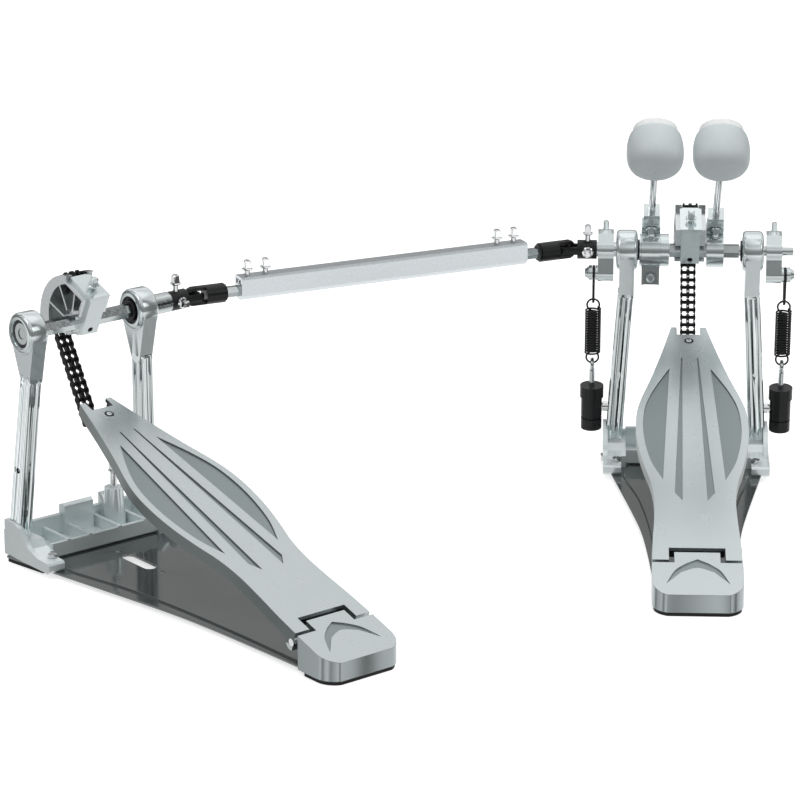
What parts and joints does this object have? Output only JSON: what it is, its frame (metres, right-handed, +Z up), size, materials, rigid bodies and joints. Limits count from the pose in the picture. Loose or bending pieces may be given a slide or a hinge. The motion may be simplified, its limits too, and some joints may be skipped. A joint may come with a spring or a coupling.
{
  "type": "double bass drum pedal",
  "caption": "Chain-driven foot pedal with twin beaters on one shaft, the left one driven through a telescopic universal-joint link by a second footboard pedal.",
  "frame": {"origin": "on the floor, below the middle of the main pedal's rocker shaft", "axes": "+X along the main rocker shaft to the player's right, +Y towards the drum, +Z up"},
  "size_m": [0.6222, 0.5397, 0.3147],
  "materials": {
    "base_paint": "gloss dark grey",
    "cast_alloy": "polished casting",
    "board_alloy": "satin silver paint",
    "bearing_steel": "dark steel",
    "foot_rubber": "matt",
    "bolt_chrome": "chrome plated",
    "shaft_steel": "zinc plated",
    "black_steel": "black oxide",
    "tube_alloy": "satin",
    "head_plastic": "pale grey",
    "beater_felt": "white felt"
  },
  "bodies": {
    "frame": {"base_plate": "base_paint", "frame_casting": "cast_alloy", "posts": "cast_alloy", "bearings": "bearing_steel", "heel_plate": "board_alloy", "rubber_feet": "foot_rubber", "frame_fasteners": "bolt_chrome"},
    "right_rocker": {"hex_shaft": "shaft_steel", "cam": "cast_alloy", "chain_strap": "shaft_steel", "chain_wrap": "black_steel", "beater_holder_right": "cast_alloy", "spring_lever_right": "cast_alloy"},
    "beater_right": {"beater_rod_right": "bolt_chrome", "beater_head_right": "head_plastic", "beater_felt_right": "beater_felt"},
    "chain_upper": {"chain_upper": "black_steel"},
    "chain_middle": {"chain_middle": "black_steel"},
    "chain_run": {"chain_run": "black_steel"},
    "footboard": {"footboard": "board_alloy"},
    "spring_base_right": {"spring_adjuster_right": "black_steel", "eye_bolt_right": "shaft_steel", "spring_right": "black_steel"},
    "stirrup_right": {"stirrup_right": "black_steel"},
    "left_rocker": {"sleeve_shaft": "shaft_steel", "beater_holder_left": "cast_alloy", "spring_lever_left": "cast_alloy", "drive_yoke": "black_steel"},
    "beater_left": {"beater_rod_left": "bolt_chrome", "beater_head_left": "head_plastic", "beater_felt_left": "beater_felt"},
    "spring_base_left": {"spring_adjuster_left": "black_steel", "eye_bolt_left": "shaft_steel", "spring_left": "black_steel"},
    "stirrup_left": {"stirrup_left": "black_steel"},
    "cross_main": {"joint_cross_main": "black_steel"},
    "link_outer": {"link_rod_main": "black_steel", "link_tube": "tube_alloy"},
    "slave_frame": {"slave_base_plate": "base_paint", "slave_casting": "cast_alloy", "slave_posts": "cast_alloy", "slave_bearings": "bearing_steel", "slave_heel_plate": "board_alloy", "slave_feet": "foot_rubber", "slave_fasteners": "bolt_chrome"},
    "link_inner": {"link_rod_slave": "black_steel"},
    "slave_rocker": {"slave_shaft": "shaft_steel", "slave_cam": "cast_alloy", "slave_chain_strap": "shaft_steel", "slave_chain_wrap": "black_steel", "slave_yoke": "black_steel"},
    "cross_slave": {"joint_cross_slave": "black_steel"},
    "slave_footboard": {"slave_footboard": "board_alloy"},
    "slave_chain_upper": {"slave_chain_upper": "black_steel"},
    "slave_chain_middle": {"slave_chain_middle": "black_steel"},
    "slave_chain_run": {"slave_chain_run": "black_steel"},
    "hoop_jaw": {"hoop_jaw": "cast_alloy"},
    "hoop_bolt": {"hoop_clamp_bolt": "bolt_chrome"},
    "anchor_bolt": {"anchor_bolt": "bolt_chrome"}
  },
  "joints": [
    {"name": "right_rocker_turn", "type": "hinge", "parent": "frame", "child": "right_rocker", "pos_m": [0, 0, 0.185], "axis": [-1, 0, 0], "range_deg": [0, 38.43], "stiffness_Nm_per_rad": 1.5, "springref_deg": -17.19},
    {"name": "footboard_turn", "type": "hinge", "parent": "frame", "child": "footboard", "pos_m": [0, -0.3048, 0.0215], "axis": [-1, 0, 0], "range_deg": [0, 5.59]},
    {"name": "chain_upper_turn", "type": "hinge", "parent": "right_rocker", "child": "chain_upper", "pos_m": [0, 0.03519, 0.19443], "axis": [1, 0, 0], "range_deg": [0, 15.05]},
    {"name": "chain_middle_turn", "type": "hinge", "parent": "chain_upper", "child": "chain_middle", "pos_m": [0, 0.03629, 0.18179], "axis": [1, 0, 0], "range_deg": [0, 20.08]},
    {"name": "chain_run_turn", "type": "hinge", "parent": "chain_middle", "child": "chain_run", "pos_m": [0, 0.03298, 0.16954], "axis": [1, 0, 0], "range_deg": [0, 15.05]},
    {"name": "spring_right_swing", "type": "hinge", "parent": "frame", "child": "spring_base_right", "pos_m": [0.0782, 0.00576, 0.048], "axis": [1, 0, 0], "range_deg": [0, 4.37]},
    {"name": "spring_right_stretch", "type": "slide", "parent": "spring_base_right", "child": "stirrup_right", "axis": [0, -0.0896, 0.996], "range_m": [0, 0.00832], "deforming": ["spring_right"]},
    {"name": "beater_right_slide", "type": "slide", "parent": "right_rocker", "child": "beater_right", "axis": [0, -0.7071, 0.7071], "range_m": [-0.012, 0.015]},
    {"name": "left_rocker_turn", "type": "hinge", "parent": "frame", "child": "left_rocker", "pos_m": [0, 0, 0.185], "axis": [-1, 0, 0], "range_deg": [0, 36.15], "stiffness_Nm_per_rad": 1.5, "springref_deg": -17.19},
    {"name": "spring_left_swing", "type": "hinge", "parent": "frame", "child": "spring_base_left", "pos_m": [-0.0782, 0.00576, 0.048], "axis": [1, 0, 0], "range_deg": [0, 4.21]},
    {"name": "spring_left_stretch", "type": "slide", "parent": "spring_base_left", "child": "stirrup_left", "axis": [0, -0.0896, 0.996], "range_m": [0, 0.00765], "deforming": ["spring_left"]},
    {"name": "beater_left_slide", "type": "slide", "parent": "left_rocker", "child": "beater_left", "axis": [0, -0.7071, 0.7071], "range_m": [-0.012, 0.015]},
    {"name": "cross_main_turn", "type": "hinge", "parent": "left_rocker", "child": "cross_main", "pos_m": [-0.101, 0, 0.185], "axis": [0, -1, 0], "range_deg": [0, 16.68]},
    {"name": "link_outer_turn", "type": "hinge", "parent": "frame", "child": "link_outer", "pos_m": [-0.101, 0, 0.185], "axis": [-0.8917, -0.4526, 0], "range_deg": [0, 39.34]},
    {"name": "slave_slide", "type": "slide", "parent": "frame", "child": "slave_frame", "axis": [-0.8917, -0.4526, 0], "range_m": [-0.01, 0.06]},
    {"name": "link_inner_turn", "type": "hinge", "parent": "slave_frame", "child": "link_inner", "pos_m": [-0.39341, -0.14843, 0.185], "axis": [-0.8917, -0.4526, 0], "range_deg": [0, 39.34]},
    {"name": "slave_rocker_turn", "type": "hinge", "parent": "slave_frame", "child": "slave_rocker", "pos_m": [-0.4716, -0.217, 0.185], "axis": [-0.7518, -0.6593, 0], "range_deg": [0, 38.45]},
    {"name": "cross_slave_turn", "type": "hinge", "parent": "slave_rocker", "child": "cross_slave", "pos_m": [-0.39341, -0.14843, 0.185], "axis": [-0.6593, 0.7518, 0], "range_deg": [0, 9.05]},
    {"name": "slave_footboard_turn", "type": "hinge", "parent": "slave_frame", "child": "slave_footboard", "pos_m": [-0.27063, -0.44616, 0.0215], "axis": [-0.7518, -0.6593, 0], "range_deg": [0, 5.59]},
    {"name": "slave_chain_upper_turn", "type": "hinge", "parent": "slave_rocker", "child": "slave_chain_upper", "pos_m": [-0.4948, -0.19054, 0.19443], "axis": [0.7518, 0.6593, 0], "range_deg": [0, 15.05]},
    {"name": "slave_chain_middle_turn", "type": "hinge", "parent": "slave_chain_upper", "child": "slave_chain_middle", "pos_m": [-0.49553, -0.18972, 0.18179], "axis": [0.7518, 0.6593, 0], "range_deg": [0, 20.08]},
    {"name": "slave_chain_run_turn", "type": "hinge", "parent": "slave_chain_middle", "child": "slave_chain_run", "pos_m": [-0.49335, -0.1922, 0.16954], "axis": [0.7518, 0.6593, 0], "range_deg": [0, 15.05]},
    {"name": "hoop_jaw_turn", "type": "hinge", "parent": "frame", "child": "hoop_jaw", "pos_m": [0, 0.0125, 0.033], "axis": [1, 0, 0], "range_deg": [-10, 0]},
    {"name": "hoop_bolt_slide", "type": "slide", "parent": "hoop_jaw", "child": "hoop_bolt", "axis": [0, 0, 1], "range_m": [0, 0.01]},
    {"name": "anchor_bolt_slide", "type": "slide", "parent": "slave_frame", "child": "anchor_bolt", "axis": [0, 0, -1], "range_m": [0, 0.0105]}
  ],
  "couplings": [
    {"joint": "footboard_turn", "follows": "right_rocker_turn", "ratio": 0.145},
    {"joint": "chain_upper_turn", "follows": "right_rocker_turn", "ratio": 0.39106},
    {"joint": "chain_middle_turn", "follows": "right_rocker_turn", "ratio": 0.52192},
    {"joint": "chain_run_turn", "follows": "right_rocker_turn", "ratio": 0.39106},
    {"joint": "spring_right_swing", "follows": "right_rocker_turn", "ratio": 0.11325},
    {"joint": "spring_right_stretch", "follows": "right_rocker_turn", "m_per_rad": 0.012372},
    {"joint": "spring_left_swing", "follows": "left_rocker_turn", "ratio": 0.11593},
    {"joint": "spring_left_stretch", "follows": "left_rocker_turn", "m_per_rad": 0.012096},
    {"joint": "cross_main_turn", "follows": "left_rocker_turn", "ratio": 0.46089},
    {"joint": "link_outer_turn", "follows": "left_rocker_turn", "ratio": 1.0878},
    {"joint": "link_inner_turn", "follows": "left_rocker_turn", "ratio": 1.0878},
    {"joint": "slave_rocker_turn", "follows": "left_rocker_turn", "ratio": 1.0633},
    {"joint": "cross_slave_turn", "follows": "left_rocker_turn", "ratio": 0.24996},
    {"joint": "slave_footboard_turn", "follows": "left_rocker_turn", "ratio": 0.15416},
    {"joint": "slave_chain_upper_turn", "follows": "left_rocker_turn", "ratio": 0.4158},
    {"joint": "slave_chain_middle_turn", "follows": "left_rocker_turn", "ratio": 0.55493},
    {"joint": "slave_chain_run_turn", "follows": "left_rocker_turn", "ratio": 0.4158}
  ]
}
